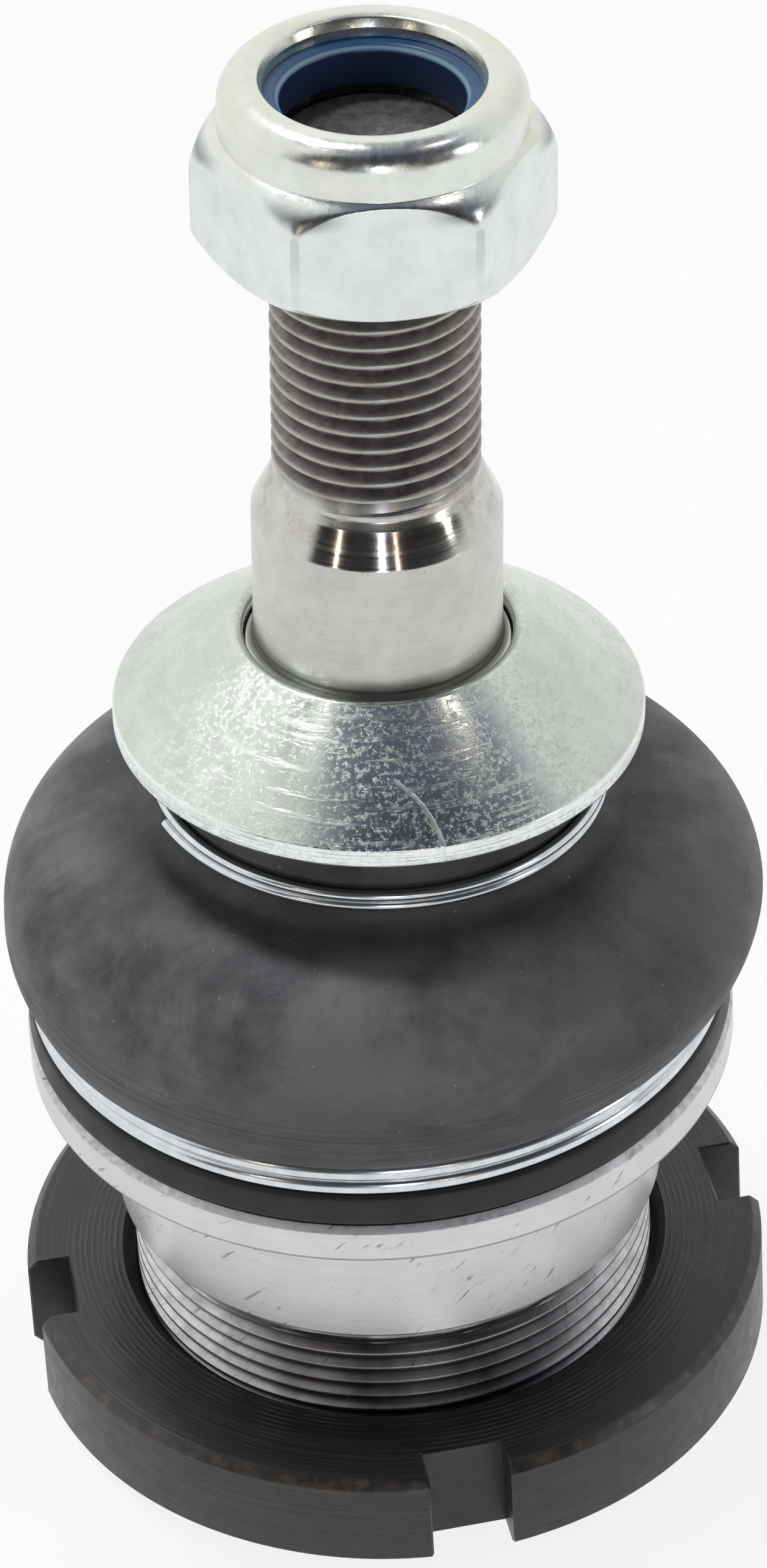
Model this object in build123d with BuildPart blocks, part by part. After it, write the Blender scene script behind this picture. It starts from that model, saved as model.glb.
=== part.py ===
from build123d import *
import os
from math import cos, radians, sin, sqrt, tan

# Suspension ball joint: a threaded housing clamped in its arm by a slotted ring nut, with a rubber
# boot, a loose dust cone and a lock nut on the stud.  Millimetres, +Z up the housing's axis, origin
# on that axis in the ring nut's lower face.  The stud leans a little in its socket, as it does once
# it is put down, so all that it carries is drawn on planes of its own axis.

# ---- driving dimensions -------------------------------------------------------------------------
running_gap = 0.05            # ball and plain bearing surfaces, on radius
slip_gap = 0.10               # parts that slide in by hand, on radius
soft_gap = 0.30               # rubber beside its seats
loose_gap = 0.15              # the loose cone over the shoulder that it rests on
clamp_gap = 0.05              # wire rings around the rubber
thread_gap = 0.06             # nut bores over the plain cylinders that stand for threads

ring_nut_radius = 30.1
ring_nut_height = 8.9
ring_nut_chamfer = 0.8
ring_nut_bore_chamfer = 1.1
spanner_slot_count = 4
spanner_slot_width = 6.5
spanner_slot_depth = 3.6
spanner_slot_turn = 9.5       # degrees that the slots stand past the X and Y axes

housing_thread_radius = 21.0  # M42 x 1.5
housing_thread_top = 15.7
thread_relief_depth = 0.7
thread_relief_height = 1.2
body_radius = 22.0            # the cylinder that centres the joint in its arm
body_bottom = 17.5
body_bottom_chamfer = 0.6
flange_bottom = 31.0
flange_radius = 28.1
flange_height = 2.75
flange_bevel = 0.5
boot_groove_radius = 25.2
boot_groove_height = 6.5      # from the flange up to the rim that keeps the boot's bead in
housing_rim_radius = 25.9
housing_rim_height = 1.0

ball_radius = 15.0
ball_depth = 11.75            # centre of the ball below the housing's rim
stud_lean = 3.96              # degrees
lean_direction = 55.6         # degrees from +X
swing_limit = 20.0            # degrees that the stud can stand off the housing's axis
lip_share = 0.55              # of the ball's radius, where the housing's lip closes over the ball
seat_wall = 2.2
seat_split = 8.0              # the two bearing shells meet this far below the ball's centre
lip_land = 0.9
lower_seat_floor = 4.0
spring_thickness = 1.4
spring_dish = 1.8
spring_bore_radius = 8.0
cover_thickness = 3.0
cover_ledge = 1.2             # the cover plate is this much wider than the bearing bore
cover_dimple_radius = 6.0
cover_dimple_depth = 1.0
rolled_edge_reach = 3.0
rolled_edge_thickness = 2.3
rolled_edge_chamfer = 1.0

# heights up the stud are counted from the ball's centre
neck_radius = 8.6
neck_top = 16.0
seal_radius = 14.0            # the shoulder that the boot's collar seals on
seal_bottom = 23.5
pin_radius = 9.65
pin_fillet = 0.6
pin_top = 51.05
pin_chamfer_top = 53.8
pin_chamfer_radius = 8.3
stud_thread_radius = 8.0      # M16 x 1.5
stud_thread_bottom = 54.5
thread_neck_radius = 7.85
stud_top = 83.0
stud_end_chamfer = 1.0

cone_rim_radius = 20.7
cone_rim_top = 33.1
cone_rim_height = 2.0
cone_bore_radius = 11.1
cone_bore_top = 40.3
cone_bore_chamfer = 0.4

nut_engagement = 8.45         # length of stud inside the nut, which isn't screwed home
nut_across_flats = 24.0
nut_turn = 2.9                # degrees that its corners stand past the stud's X axis
nut_shoulder_height = 10.2    # where the hexagon's chamfer meets the collar
nut_chamfer_angle = 30.0
nut_collar_radius = 11.6
nut_collar_round = 2.0
nut_height = 14.35
nut_lip_radius = 8.2
nut_lip_drop = 0.9
nut_wall_at_insert = 1.35
insert_bottom = 9.05          # above the nut's lower face
insert_top = 12.65
insert_bore_radius = 6.9
nut_bore_chamfer = 0.9

boot_wall = 2.2
boot_bead_wall = 0.8          # under the wire
boot_lip_overhang = 1.7       # the lip under the wire stands this far out past the bead
boot_lip_height = 2.7
boot_lip_round = 0.6
boot_foot_overhang = 2.6      # the foot stands this far out past its bead, over the wire
boot_foot_heel = 0.6          # the foot's lower edge is this much narrower
boot_foot_height = 0.75       # top of the foot above the housing's groove
boot_belly_bulge = 1.1        # the belly stands this far out past the foot
boot_belly_height = 3.5       # its widest ring above the foot
boot_set_x = 0.69             # the rubber has taken a set: its widest ring stands this far off
boot_set_y = 0.27
boot_collar_radius = 17.3
boot_collar_bottom = 24.0     # from the ball's centre, as are the next two
boot_collar_seat = 25.2
boot_collar_seat_height = 2.2
boot_collar_seat_depth = 0.3

lower_wire = 1.45
upper_wire = 0.90
wire_turns = 2
turn_overlap = 0.05           # neighbouring turns of a ring run into each other by this

os.makedirs("parts", exist_ok=True)


# ---- heights and frames ---------------------------------------------------------------------------
flange_top = flange_bottom + flange_height
groove_bottom = flange_top + flange_bevel
groove_top = groove_bottom + boot_groove_height
housing_top = groove_top + housing_rim_height
ball_height = housing_top - ball_depth


def leaning_frame(height, share):
    """Plane across the axis that leans by a share of the stud's lean, height mm past the ball."""
    lean = (
        Location((0, 0, ball_height), (0, 0, lean_direction))
        * Location((0, 0, 0), (0, share * stud_lean, 0))
        * Location((0, 0, 0), (0, 0, -lean_direction))
    )
    return Plane(lean).offset(height)


stud_frame = leaning_frame(0, 1)
stud_axis = Axis(stud_frame.origin, stud_frame.z_dir)
stud_section = Plane(stud_frame.origin, x_dir=stud_frame.x_dir, z_dir=-stud_frame.y_dir)


def save(builder, label):
    builder.part.label = label
    export_step(builder.part, "parts/" + label + ".step")


# ---- ring nut -----------------------------------------------------------------------------------
with BuildPart() as ring_nut:
    with BuildSketch():
        Circle(ring_nut_radius)
        Circle(housing_thread_radius + thread_gap, mode=Mode.SUBTRACT)
    extrude(amount=ring_nut_height)
    bore_edges = ring_nut.edges().filter_by(GeomType.CIRCLE).sort_by(SortBy.RADIUS)[:2]
    chamfer(bore_edges, ring_nut_bore_chamfer)
    rim_edges = ring_nut.edges().filter_by(GeomType.CIRCLE).sort_by(SortBy.RADIUS)[-2:]
    chamfer(rim_edges, ring_nut_chamfer)
    with BuildSketch():
        with PolarLocations(ring_nut_radius, spanner_slot_count, start_angle=spanner_slot_turn):
            Rectangle(2 * spanner_slot_depth, spanner_slot_width)
    extrude(amount=ring_nut_height, mode=Mode.SUBTRACT)
save(ring_nut, "ring_nut")


# ---- housing ------------------------------------------------------------------------------------
bearing_radius = ball_radius + seat_wall
bore_radius = bearing_radius + slip_gap
cover_radius = bore_radius + cover_ledge
lip_height = lip_share * ball_radius
lip_radius = sqrt((ball_radius + running_gap) ** 2 - lip_height ** 2) + running_gap
neck_reach = neck_radius + soft_gap + (housing_top - ball_height) * sin(radians(swing_limit))
mouth_radius = neck_reach / cos(radians(swing_limit))
lower_seat_bottom = ball_height - ball_radius - lower_seat_floor
spring_bottom = lower_seat_bottom - spring_thickness - spring_dish
cover_bottom = spring_bottom - cover_thickness
relief_radius = housing_thread_radius - thread_relief_depth
relief_top = housing_thread_top + thread_relief_height
lip_bottom = ball_height + lip_height
rolled_edge_radius = cover_radius - rolled_edge_reach
housing_bottom = cover_bottom - rolled_edge_thickness

with BuildPart() as housing:
    with BuildSketch(Plane.XZ):
        with BuildLine():
            Polyline(
                (rolled_edge_radius, housing_bottom),
                (housing_thread_radius - rolled_edge_chamfer, housing_bottom),
                (housing_thread_radius, housing_bottom + rolled_edge_chamfer),
                (housing_thread_radius, housing_thread_top),
                (relief_radius, housing_thread_top),
                (relief_radius, relief_top),
                (body_radius - body_bottom_chamfer, relief_top),
                (body_radius, body_bottom),
                (body_radius, flange_bottom),
                (flange_radius, flange_bottom),
                (flange_radius, flange_top),
                (flange_radius - flange_bevel, groove_bottom),
                (boot_groove_radius, groove_bottom),
                (boot_groove_radius, groove_top),
                (housing_rim_radius, groove_top),
                (housing_rim_radius, housing_top),
                (mouth_radius, housing_top),
                (lip_radius, lip_bottom + lip_land),
                (lip_radius, lip_bottom),
                (bore_radius, lip_bottom),
                (bore_radius, cover_bottom + cover_thickness),
                (cover_radius, cover_bottom + cover_thickness),
                (cover_radius, cover_bottom),
                (rolled_edge_radius, cover_bottom),
                close=True,
            )
        make_face()
    revolve(axis=Axis.Z)
save(housing, "housing")


# ---- bearing shells, preload spring and cover, inside the housing --------------------------------
def socket_shell(bottom, top):
    """Ring of the bearing bore's size, hollowed by the ball, between two heights."""
    with BuildPart() as shell:
        with BuildSketch(Plane.XY.offset(bottom)):
            Circle(bearing_radius)
        extrude(amount=top - bottom)
        with Locations((0, 0, ball_height)):
            Sphere(ball_radius + running_gap, mode=Mode.SUBTRACT)
    return shell


ball_seat = socket_shell(ball_height - seat_split, lip_bottom - running_gap)
save(ball_seat, "ball_seat")

lower_seat = socket_shell(lower_seat_bottom, ball_height - seat_split - slip_gap)
save(lower_seat, "lower_seat")

spring_radius = bearing_radius - slip_gap
with BuildPart() as preload_spring:
    with BuildSketch(Plane.XZ):
        with BuildLine():
            Polyline(
                (spring_bore_radius, spring_bottom + spring_dish),
                (spring_radius, spring_bottom),
                (spring_radius, spring_bottom + spring_thickness),
                (spring_bore_radius, spring_bottom + spring_dish + spring_thickness),
                close=True,
            )
        make_face()
    revolve(axis=Axis.Z)
save(preload_spring, "preload_spring")

with BuildPart() as cover_plate:
    with BuildSketch(Plane.XY.offset(cover_bottom)):
        Circle(cover_radius - slip_gap)
    extrude(amount=cover_thickness)
    with BuildSketch(Plane.XY.offset(cover_bottom)):
        Circle(cover_dimple_radius)
    extrude(amount=cover_dimple_depth, taper=45, mode=Mode.SUBTRACT)
save(cover_plate, "cover_plate")


# ---- ball stud ----------------------------------------------------------------------------------
cone_slope = (cone_bore_top - cone_rim_top) / (cone_rim_radius - cone_bore_radius)
cone_underside_drop = cone_rim_height + loose_gap


def under_cone(radius):
    """Height on the stud that leaves the dust cone's underside its gap at a radius."""
    return cone_bore_top - (radius - cone_bore_radius) * cone_slope - cone_underside_drop


shoulder_top_radius = pin_radius + pin_fillet
ball_top_at_neck = sqrt(ball_radius ** 2 - neck_radius ** 2)
with BuildPart() as ball_stud:
    with BuildSketch(stud_section):
        with BuildLine():
            ThreePointArc((0, -ball_radius), (ball_radius, 0), (neck_radius, ball_top_at_neck))
            Polyline(
                (neck_radius, ball_top_at_neck),
                (neck_radius, neck_top),
                (seal_radius, seal_bottom),
                (seal_radius, under_cone(seal_radius)),
                (shoulder_top_radius, under_cone(shoulder_top_radius)),
            )
            RadiusArc(
                (shoulder_top_radius, under_cone(shoulder_top_radius)),
                (pin_radius, under_cone(shoulder_top_radius) + pin_fillet),
                pin_fillet,
            )
            Polyline(
                (pin_radius, under_cone(shoulder_top_radius) + pin_fillet),
                (pin_radius, pin_top),
                (pin_chamfer_radius, pin_chamfer_top),
                (thread_neck_radius, stud_thread_bottom),
                (stud_thread_radius, stud_thread_bottom + stud_thread_radius - thread_neck_radius),
                (stud_thread_radius, stud_top - stud_end_chamfer),
                (stud_thread_radius - stud_end_chamfer, stud_top),
                (0, stud_top),
                (0, -ball_radius),
            )
        make_face()
    revolve(axis=stud_axis)
save(ball_stud, "ball_stud")


# ---- dust cone ----------------------------------------------------------------------------------
with BuildPart() as dust_cone:
    with BuildSketch(stud_section):
        with BuildLine():
            Polyline(
                (cone_bore_radius + cone_bore_chamfer, cone_bore_top),
                (cone_rim_radius, cone_rim_top),
                (cone_rim_radius, cone_rim_top - cone_rim_height),
                (cone_bore_radius, cone_bore_top - cone_rim_height),
                (cone_bore_radius, cone_bore_top - cone_bore_chamfer),
                close=True,
            )
        make_face()
    revolve(axis=stud_axis)
save(dust_cone, "dust_cone")


# ---- lock nut and its nylon ring -----------------------------------------------------------------
nut_bottom = stud_top - nut_engagement
nut_top = nut_bottom + nut_height
nut_shoulder = nut_bottom + nut_shoulder_height
nut_corner_radius = nut_across_flats / 2 / cos(radians(30))
corner_drop = (nut_corner_radius + 1 - nut_collar_radius) * tan(radians(nut_chamfer_angle))
insert_radius = nut_collar_radius - nut_wall_at_insert
lip_bottom_height = nut_bottom + insert_top
nut_bore_radius = stud_thread_radius + thread_gap
collar_round_height = nut_top - nut_collar_round

with BuildPart() as lock_nut:
    with BuildSketch(stud_frame.offset(nut_bottom)):
        RegularPolygon(nut_across_flats / 2, 6, major_radius=False, rotation=nut_turn)
    extrude(amount=nut_height)
    with BuildSketch(stud_section):
        with BuildLine():
            Polyline(
                (nut_collar_radius, collar_round_height),
                (nut_collar_radius, nut_shoulder),
                (nut_corner_radius + 1, nut_shoulder - corner_drop),
                (nut_corner_radius + 1, nut_bottom + corner_drop),
                (nut_collar_radius, nut_bottom),
                (nut_bore_radius + nut_bore_chamfer, nut_bottom),
                (nut_bore_radius, nut_bottom + nut_bore_chamfer),
                (nut_bore_radius, nut_bottom + insert_bottom),
                (insert_radius, nut_bottom + insert_bottom),
                (insert_radius, lip_bottom_height),
                (nut_lip_radius, lip_bottom_height),
                (nut_lip_radius, nut_top - nut_lip_drop),
            )
            Spline(
                (nut_lip_radius, nut_top - nut_lip_drop),
                (nut_collar_radius - nut_collar_round, nut_top),
                tangents=((0.3, 1), (1, 0)),
            )
            RadiusArc(
                (nut_collar_radius - nut_collar_round, nut_top),
                (nut_collar_radius, collar_round_height),
                nut_collar_round,
            )
        make_face()
    revolve(axis=stud_axis, mode=Mode.INTERSECT)
save(lock_nut, "lock_nut")

with BuildPart() as nylon_insert:
    with BuildSketch(stud_frame.offset(nut_bottom + insert_bottom + running_gap)):
        Circle(insert_radius - running_gap)
        Circle(insert_bore_radius, mode=Mode.SUBTRACT)
    extrude(amount=insert_top - insert_bottom - 2 * running_gap)
save(nylon_insert, "nylon_insert")


# ---- wire clamp rings ----------------------------------------------------------------------------
def wire_ring(section, axis, inner_radius, bottom, wire):
    """Stacked turns of round wire around an axis; each turn runs a little into the next."""
    with BuildPart() as ring:
        with BuildSketch(section):
            for turn in range(wire_turns):
                with Locations((inner_radius + wire / 2, bottom + wire / 2 + turn * (wire - turn_overlap))):
                    Circle(wire / 2)
        revolve(axis=axis)
    return ring


bead_radius = boot_groove_radius + soft_gap
bead_outer_radius = bead_radius + boot_bead_wall
boot_bottom = groove_bottom + soft_gap
lip_top = boot_bottom + boot_lip_height
lower_ring_bottom = lip_top + clamp_gap
lower_ring_top = lower_ring_bottom + lower_wire + (wire_turns - 1) * (lower_wire - turn_overlap)
lower_clamp_ring = wire_ring(
    Plane.XZ, Axis.Z, bead_outer_radius + clamp_gap, lower_ring_bottom, lower_wire
)
save(lower_clamp_ring, "lower_clamp_ring")

collar_seat_radius = boot_collar_radius - boot_collar_seat_depth
upper_clamp_ring = wire_ring(
    stud_section, stud_axis, collar_seat_radius + clamp_gap, boot_collar_seat + clamp_gap, upper_wire
)
save(upper_clamp_ring, "upper_clamp_ring")


# ---- rubber boot ---------------------------------------------------------------------------------
foot_top = groove_top + boot_foot_height
foot_radius = bead_outer_radius + boot_foot_overhang
lip_outer_radius = bead_outer_radius + boot_lip_overhang
belly_height = foot_top + boot_belly_height
belly_rise = boot_collar_bottom + ball_height - belly_height
belly_reach = foot_radius + boot_belly_bulge - boot_collar_radius
collar_bore_radius = seal_radius + soft_gap
rim_clear_radius = housing_rim_radius + soft_gap
belly_angles = (0, 30, 55, 75)
widest_share = 0.15           # share of the stud's lean that the widest ring has taken up
boot_set = Vector(boot_set_x, boot_set_y, 0)


def belly(inset):
    """Leaning belly from the foot up to the collar, set in by the boot's wall."""
    with BuildPart() as solid:
        with BuildSketch(Plane.XY.offset(foot_top - inset / 2)):
            Circle(foot_radius - inset)
        for angle in belly_angles:
            rise = sin(radians(angle))
            height = belly_height + (belly_rise - inset) * rise
            ring = leaning_frame(height - ball_height, widest_share + (1 - widest_share) * rise)
            with BuildSketch(Plane(ring.origin + (1 - rise) * boot_set, z_dir=ring.z_dir)):
                Circle(boot_collar_radius + (belly_reach - inset) * cos(radians(angle)))
        with BuildSketch(leaning_frame(boot_collar_bottom - inset, 1)):
            Circle(boot_collar_radius)
        loft()
    return solid.part


with BuildPart() as boot:
    add(belly(0))
    with BuildSketch(stud_section):
        with BuildLine():
            Polyline(
                (collar_bore_radius, boot_collar_bottom - boot_wall / 2),
                (boot_collar_radius, boot_collar_bottom - boot_wall / 2),
                (boot_collar_radius, boot_collar_seat),
                (collar_seat_radius, boot_collar_seat),
                (collar_seat_radius, boot_collar_seat + boot_collar_seat_height),
                (boot_collar_radius, boot_collar_seat + boot_collar_seat_height),
                (boot_collar_radius, under_cone(boot_collar_radius) - loose_gap),
                (collar_bore_radius, under_cone(collar_bore_radius) - loose_gap),
                close=True,
            )
        make_face()
    revolve(axis=stud_axis)
    add(belly(boot_wall), mode=Mode.SUBTRACT)
    with BuildSketch(stud_frame.offset(boot_collar_bottom - 2 * boot_wall)):
        Circle(collar_bore_radius)
    extrude(amount=cone_bore_top - boot_collar_bottom, mode=Mode.SUBTRACT)
    with BuildSketch(Plane.XZ):
        with BuildLine():
            Polyline(
                (bead_radius, boot_bottom),
                (lip_outer_radius, boot_bottom),
                (lip_outer_radius, lip_top - boot_lip_round),
                (lip_outer_radius - boot_lip_round, lip_top),
                (bead_outer_radius, lip_top),
                (bead_outer_radius, lower_ring_top + clamp_gap),
                (foot_radius - boot_foot_heel, lower_ring_top + soft_gap),
                (foot_radius, foot_top),
                (rim_clear_radius, foot_top),
                (rim_clear_radius, groove_top - soft_gap + clamp_gap),
                (bead_radius, groove_top - boot_bead_wall),
                close=True,
            )
        make_face()
    revolve(axis=Axis.Z)
save(boot, "boot")
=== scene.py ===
import math
import bmesh
import bpy
import numpy as np
from mathutils import Matrix, Vector


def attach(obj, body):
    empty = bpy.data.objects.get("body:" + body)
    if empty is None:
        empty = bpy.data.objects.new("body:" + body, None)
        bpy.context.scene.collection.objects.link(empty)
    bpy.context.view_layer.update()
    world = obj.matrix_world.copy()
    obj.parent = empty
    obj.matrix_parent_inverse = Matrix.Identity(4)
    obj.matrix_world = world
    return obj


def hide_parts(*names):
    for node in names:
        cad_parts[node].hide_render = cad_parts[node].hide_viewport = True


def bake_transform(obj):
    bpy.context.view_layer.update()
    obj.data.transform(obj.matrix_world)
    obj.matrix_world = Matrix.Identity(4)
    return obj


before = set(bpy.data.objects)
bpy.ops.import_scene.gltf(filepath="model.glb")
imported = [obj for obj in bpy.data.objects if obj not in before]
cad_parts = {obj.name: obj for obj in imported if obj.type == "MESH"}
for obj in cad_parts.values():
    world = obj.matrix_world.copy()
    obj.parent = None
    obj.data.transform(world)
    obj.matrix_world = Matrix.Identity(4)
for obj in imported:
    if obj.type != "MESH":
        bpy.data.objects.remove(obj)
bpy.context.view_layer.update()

# Suspension ball joint.  Lengths in the code are millimetres, and meshes are made in metres.
MM = 0.001
BALL = Vector((0, 0, 30.0))          # the stud swings about this point
LEAN = math.radians(3.96)            # of the stud at rest
TOWARDS = math.radians(55.6)         # where it leans to, from +X
PITCH = 1.5                          # of both threads
STEPS = 192                          # facets round every turned piece


def leaned(share=1.0):
    """Frame about the ball's centre, turned by a share of the stud's lean; heights count from the ball."""
    axis = Vector((-math.sin(TOWARDS), math.cos(TOWARDS), 0))
    return Matrix.Translation(BALL) @ Matrix.Rotation(share * LEAN, 4, axis)


UPRIGHT = Matrix.Identity(4)         # the housing's frame; its heights count from the ring nut's base
STUD = leaned()


# ---- mesh helpers ---------------------------------------------------------------------------------
def mesh_object(name, points, faces, sharp=32.0):
    """Closed, smooth-shaded mesh that keeps edges sharper than an angle."""
    mesh = bpy.data.meshes.new(name)
    mesh.from_pydata([tuple(c * MM for c in p) for p in points], [], faces)
    bm = bmesh.new()
    bm.from_mesh(mesh)
    bmesh.ops.remove_doubles(bm, verts=bm.verts, dist=2e-7)
    bmesh.ops.dissolve_degenerate(bm, edges=bm.edges, dist=1e-8)
    bmesh.ops.recalc_face_normals(bm, faces=bm.faces)
    bm.to_mesh(mesh)
    bm.free()
    mesh.polygons.foreach_set("use_smooth", [True] * len(mesh.polygons))
    mesh.set_sharp_from_angle(angle=math.radians(sharp))
    mesh.update()
    piece = bpy.data.objects.new(name, mesh)
    bpy.context.scene.collection.objects.link(piece)
    return piece


def corner_arc(before, here, after, radius):
    """Points of the arc that rounds one corner of a profile."""
    before, after = before - here, after - here
    length_before, length_after = np.linalg.norm(before), np.linalg.norm(after)
    before, after = before / length_before, after / length_after
    half = math.acos(max(-1, min(1, float(before @ after)))) / 2
    reach = min(radius / math.tan(half), 0.49 * length_before, 0.49 * length_after)
    radius = reach * math.tan(half)
    bisector = (before + after) / np.linalg.norm(before + after)
    centre = here + bisector * radius / math.sin(half)
    start, stop = here + before * reach - centre, here + after * reach - centre
    turn = math.atan2(start[0] * stop[1] - start[1] * stop[0], float(start @ stop))
    count = max(2, int(abs(math.degrees(turn)) / 15) + 1)
    arc = []
    for j in range(count + 1):
        a = turn * j / count
        arc.append((
            centre[0] + start[0] * math.cos(a) - start[1] * math.sin(a),
            centre[1] + start[0] * math.sin(a) + start[1] * math.cos(a),
        ))
    return arc


def rounded(corners, closed=True):
    """Profile through (r, z) or (r, z, radius) corners, with a small arc where a corner has a radius."""
    profile = []
    last = len(corners) - 1
    places = [np.array(corner[:2], float) for corner in corners]
    for i, corner in enumerate(corners):
        if len(corner) < 3 or (not closed and i in (0, last)):
            profile.append(tuple(places[i]))
        else:
            profile += corner_arc(places[i - 1], places[i], places[(i + 1) % len(corners)], corner[2])
    return profile


def swept(rings, closed):
    """Points and faces of a surface through rings of equal length, each ring closed on itself."""
    points = [p for one in rings for p in one]
    m = len(rings[0])
    faces = []
    for i in range(len(rings) - (0 if closed else 1)):
        a, b = i * m, (i + 1) % len(rings) * m
        faces += [(a + j, a + (j + 1) % m, b + (j + 1) % m, b + j) for j in range(m)]
    return points, faces


def ring(r, z, matrix):
    """Circle of radius r at height z of a frame."""
    return [
        tuple(matrix @ Vector((r * math.cos(a), r * math.sin(a), z)))
        for a in (2 * math.pi * i / STEPS for i in range(STEPS))
    ]


def turned(profile, matrix, closed=False):
    """Points and faces of the surface that a profile sweeps round a frame's axis."""
    return swept([ring(r, z, matrix) for r, z in profile], closed)


def threaded(low, high, radius_at, start, matrix, rows=20):
    """Points and faces of a right-hand thread's surface between two heights, from radius_at(phase, z)."""
    points, faces = [], []
    count = (int((high - low) / PITCH) + 3) * rows
    for i in range(STEPS):
        a = 2 * math.pi * i / STEPS
        for j in range(count + 1):
            z = low + (j / rows - 1.0 + i / STEPS) * PITCH
            z = min(max(z, low), high)
            phase = ((z - start) / PITCH - i / STEPS) % 1.0
            r = radius_at(phase, z)
            points.append(tuple(matrix @ Vector((r * math.cos(a), r * math.sin(a), z))))
    m = count + 1
    for i in range(STEPS):
        for j in range(count):
            a = i * m + j
            if i + 1 < STEPS:
                faces.append((a, a + m, a + m + 1, a + 1))
            elif j + rows + 1 <= count:      # the last column meets the first one a turn higher
                b = j + rows
                faces.append((a, b, b + 1, a + 1))
    return points, faces


def joined(*surfaces):
    """One list of points and one of faces for several surfaces."""
    points, faces = [], []
    for more_points, more_faces in surfaces:
        shift = len(points)
        points += more_points
        faces += [tuple(i + shift for i in face) for face in more_faces]
    return points, faces


def put(piece, body, *nodes, slot=None):
    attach(piece, body)
    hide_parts(*nodes)
    return piece


# ---- ring nut -------------------------------------------------------------------------------------
NUT_HEIGHT, RIM = 8.9, 30.05
SLOT_FLOOR, HALF_SLOT = 26.5, 3.25   # radius of the four slots' floors, and half their width
FIRST_SLOT = math.radians(9.5)
BROKEN = 0.15                        # all edges of the slots are broken by this much
FLOOR_EDGE = SLOT_FLOOR - BROKEN
INNER = 26.0                         # the slotted rim starts here, outside the plain turned ring
MIDDLE = NUT_HEIGHT / 2
rim_chain = rounded([
    (INNER, NUT_HEIGHT), (FLOOR_EDGE, NUT_HEIGHT), (SLOT_FLOOR, NUT_HEIGHT),
    (29.3, NUT_HEIGHT, 0.25), (RIM, 8.1, 0.3), (RIM, 0.8, 0.15), (29.3, 0, 0.15),
    (SLOT_FLOOR, 0), (FLOOR_EDGE, 0), (INNER, 0),
], closed=False)
bore_chain = rounded([
    (INNER, 0), (24.0, 0), (22.16, 0), (21.06, 1.1),
    (21.06, 7.8, 0.1), (22.16, NUT_HEIGHT, 0.12), (24.0, NUT_HEIGHT), (INNER, NUT_HEIGHT),
], closed=False)


def wall_column(offset, shrink):
    """Section of the nut beside a slot's wall, as (x, y, z) in the slot's frame; shrink breaks its edges."""
    column = []
    last = len(rim_chain) - 1
    y = HALF_SLOT + offset
    squeezed = 1 - shrink / MIDDLE
    for j, (r, z) in enumerate(rim_chain):
        if j in (0, last):
            x = math.sqrt(INNER ** 2 - y ** 2)
        elif j in (1, last - 1):
            x = r
        elif j in (2, last - 2):
            x, z = SLOT_FLOOR, MIDDLE + (z - MIDDLE) * squeezed
        else:
            x, z = math.sqrt((r - shrink) ** 2 - y ** 2), MIDDLE + (z - MIDDLE) * squeezed
        column.append((x, y, z))
    return column


def slot_column(y):
    """Section of the nut through a slot's floor."""
    x = math.sqrt(INNER ** 2 - y ** 2)
    return [
        (x, y, NUT_HEIGHT), (FLOOR_EDGE, y, NUT_HEIGHT), (SLOT_FLOOR, y, NUT_HEIGHT - BROKEN),
        (SLOT_FLOOR, y, BROKEN), (FLOOR_EDGE, y, 0), (x, y, 0),
    ]


def bridged(columns):
    """Points and faces of a surface through open columns of equal length."""
    points = [p for column in columns for p in column]
    m = len(columns[0])
    faces = []
    for i in range(len(columns) - 1):
        faces += [(i * m + j, i * m + j + 1, (i + 1) * m + j + 1, (i + 1) * m + j) for j in range(m - 1)]
    return points, faces


def at_slot(p, share):
    """Point of a slot's frame, turned to the first slot's place and a share of a turn on."""
    a = FIRST_SLOT + share
    return (p[0] * math.cos(a) - p[1] * math.sin(a), p[0] * math.sin(a) + p[1] * math.cos(a), p[2])


def solid_columns(start, stop, count=44):
    """Columns of the solid rim between two slots, from wall to wall."""
    wall, full = wall_column(0, BROKEN), wall_column(BROKEN, 0)
    columns = [[at_slot(p, start) for p in wall]]
    for k in range(count + 1):
        column = []
        for x, y, z in full:
            r, first = math.hypot(x, y), math.atan2(y, x)
            a = first + (math.pi / 2 - 2 * first) * k / count
            column.append(at_slot((r * math.cos(a), r * math.sin(a), z), start))
        columns.append(column)
    columns.append([at_slot((x, -y, z), stop) for x, y, z in wall])
    return columns


def nut_quarter(quarter):
    """Surfaces of one slot, the solid rim up to the next slot, and the bore beside them."""
    start, stop = math.pi / 2 * quarter, math.pi / 2 * (quarter + 1)
    solid = solid_columns(start, stop)
    slot = [[at_slot(p, start) for p in slot_column(HALF_SLOT * (k / 6 - 1))] for k in range(13)]
    bore = []
    for x, y, _ in [column[0] for column in slot + solid[1:]]:
        a = math.atan2(y, x)
        bore.append([(r * math.cos(a), r * math.sin(a), z) for r, z in bore_chain])
    walls = [(side[2:-2], [tuple(range(len(side) - 4))]) for side in (solid[0], solid[-1])]
    return [bridged(solid), bridged(slot), bridged(bore)] + walls


def make_ring_nut():
    surfaces = [surface for quarter in range(4) for surface in nut_quarter(quarter)]
    piece = mesh_object("slotted_ring_nut", *joined(*surfaces), 30)
    return put(piece, "base", "ring_nut", slot="black_oxide_steel")


# ---- housing --------------------------------------------------------------------------------------
HOUSING_CREST, HOUSING_ROOT = 20.97, 20.3          # radii of the M42 thread and of the undercut over it
HOUSING_THREAD_LOW, HOUSING_THREAD_HIGH = 3.6, 15.65
HOUSING_THREAD_START = 9.525                       # height of a crest at angle 0, less half a pitch


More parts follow.
